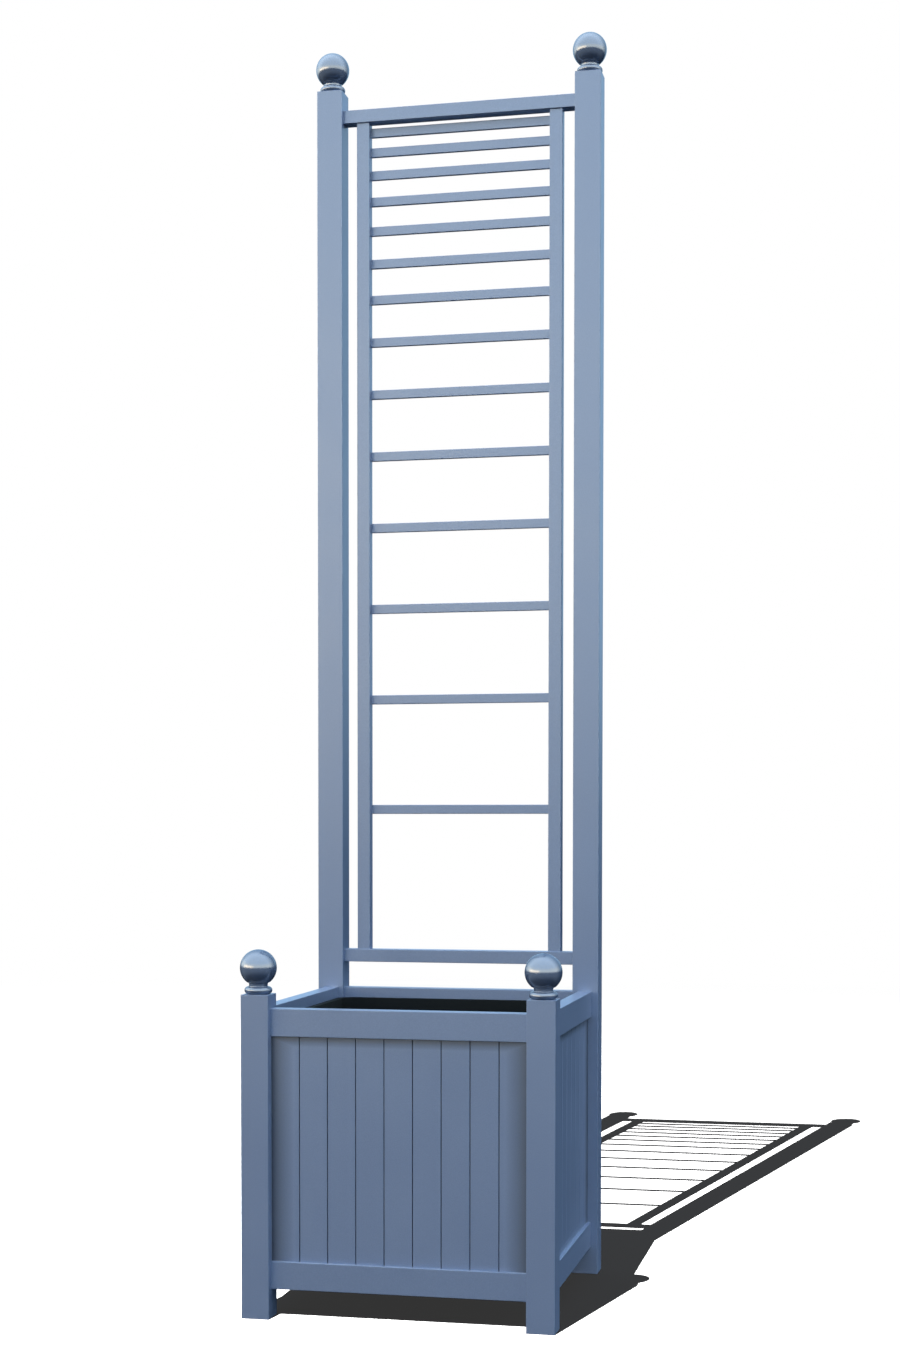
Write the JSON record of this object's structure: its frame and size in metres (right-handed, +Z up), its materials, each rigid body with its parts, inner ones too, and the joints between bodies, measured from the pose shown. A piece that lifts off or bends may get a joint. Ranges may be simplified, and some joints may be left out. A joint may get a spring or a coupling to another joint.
{
  "type": "versailles planter",
  "caption": "Square painted timber planter with ball finials, boarded panels, a lift-out liner and a tall trellis of graduated laths at the back.",
  "frame": {"origin": "middle of the footprint, on the ground", "axes": "+X to the right seen from the front, +Y to the back where the trellis stands, +Z up"},
  "size_m": [0.5132, 0.5132, 2.1303],
  "materials": {
    "painted_timber": "satin paint",
    "painted_boards": "satin paint",
    "painted_trellis": "satin paint",
    "painted_finials": "gloss paint",
    "screw_steel": "zinc plated",
    "bare_softwood": "planed, unpainted",
    "liner_plastic": "matt"
  },
  "bodies": {
    "planter": {"post_front_left": "painted_timber", "post_front_right": "painted_timber", "post_back_left": "painted_timber", "post_back_right": "painted_timber", "rail_front_top": "painted_timber", "rail_right_top": "painted_timber", "rail_back_top": "painted_timber", "rail_left_top": "painted_timber", "rail_front_bottom": "painted_timber", "rail_right_bottom": "painted_timber", "rail_back_bottom": "painted_timber", "rail_left_bottom": "painted_timber", "front_board_1": "painted_boards", "front_board_2": "painted_boards", "front_board_3": "painted_boards", "front_board_4": "painted_boards", "front_board_5": "painted_boards", "front_board_6": "painted_boards", "front_board_7": "painted_boards", "front_board_8": "painted_boards", "front_board_9": "painted_boards", "boards_right": "painted_boards", "boards_back": "painted_boards", "boards_left": "painted_boards", "trellis_rail_upper": "painted_trellis", "trellis_rail_lower": "painted_trellis", "trellis_stile_left": "painted_trellis", "trellis_stile_right": "painted_trellis", "trellis_lath_1": "painted_trellis", "trellis_lath_2": "painted_trellis", "trellis_lath_3": "painted_trellis", "trellis_lath_4": "painted_trellis", "trellis_lath_5": "painted_trellis", "trellis_lath_6": "painted_trellis", "trellis_lath_7": "painted_trellis", "trellis_lath_8": "painted_trellis", "trellis_lath_9": "painted_trellis", "trellis_lath_10": "painted_trellis", "trellis_lath_11": "painted_trellis", "trellis_lath_12": "painted_trellis", "trellis_lath_13": "painted_trellis", "trellis_lath_14": "painted_trellis", "finial_front_left": "painted_finials", "finial_front_right": "painted_finials", "finial_back_left": "painted_finials", "finial_back_right": "painted_finials", "finial_screws": "screw_steel", "lath_pins": "screw_steel", "ledger_screws": "screw_steel", "slat_screws": "screw_steel", "floor_ledgers": "bare_softwood", "floor_slats": "bare_softwood"},
    "liner": {"liner": "liner_plastic"}
  },
  "joints": [
    {"name": "liner_lift", "type": "slide", "parent": "planter", "child": "liner", "axis": [0, 0, 1], "range_m": [0, 0.52]}
  ]
}
